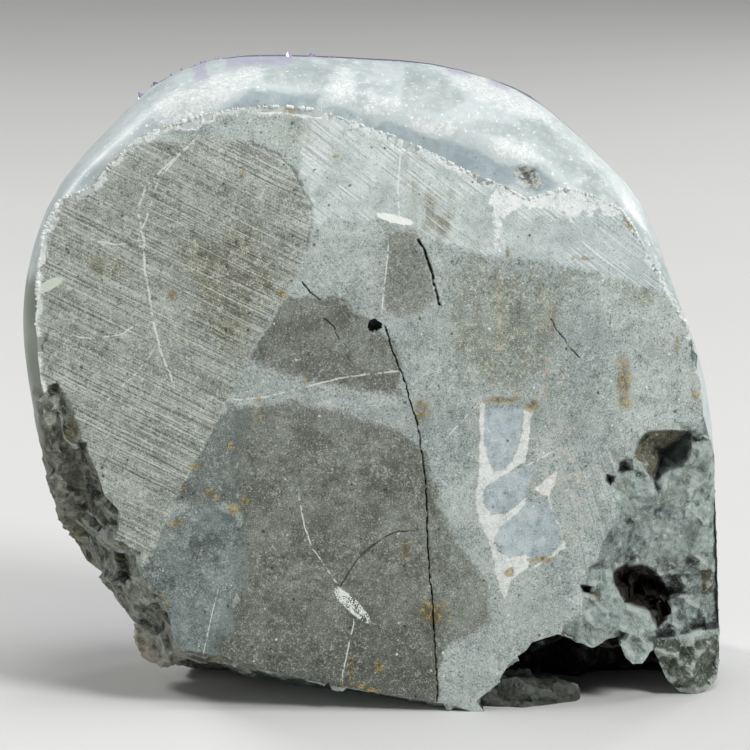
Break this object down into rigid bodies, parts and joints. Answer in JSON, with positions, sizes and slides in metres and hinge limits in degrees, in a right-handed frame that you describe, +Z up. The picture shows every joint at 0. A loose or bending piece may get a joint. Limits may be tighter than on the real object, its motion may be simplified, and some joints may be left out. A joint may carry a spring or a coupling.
{
  "type": "rough amethyst",
  "caption": "Freestanding section of an amethyst geode wall: basalt sawn flat behind, a polished agate and quartz rind over its edge, and a crust of purple points on the hollow front.",
  "frame": {"origin": "under the middle of the stone's bounding box, on the surface it stands on", "axes": "+Z up, +Y towards the crystal front, so the sawn back faces -Y; +X to the right for someone looking at the sawn back"},
  "size_m": [0.1526, 0.0678, 0.1393],
  "materials": {
    "basalt": "sawn grey basalt with olive mottles and pale veins, rough where it broke",
    "agate": "polished translucent grey-white agate and quartz",
    "amethyst": "clear purple crystal with flat glossy faces"
  },
  "bodies": {
    "root": {"basalt_matrix": "basalt", "agate_rind": "agate", "amethyst_crystals": "amethyst"}
  },
  "joints": []
}
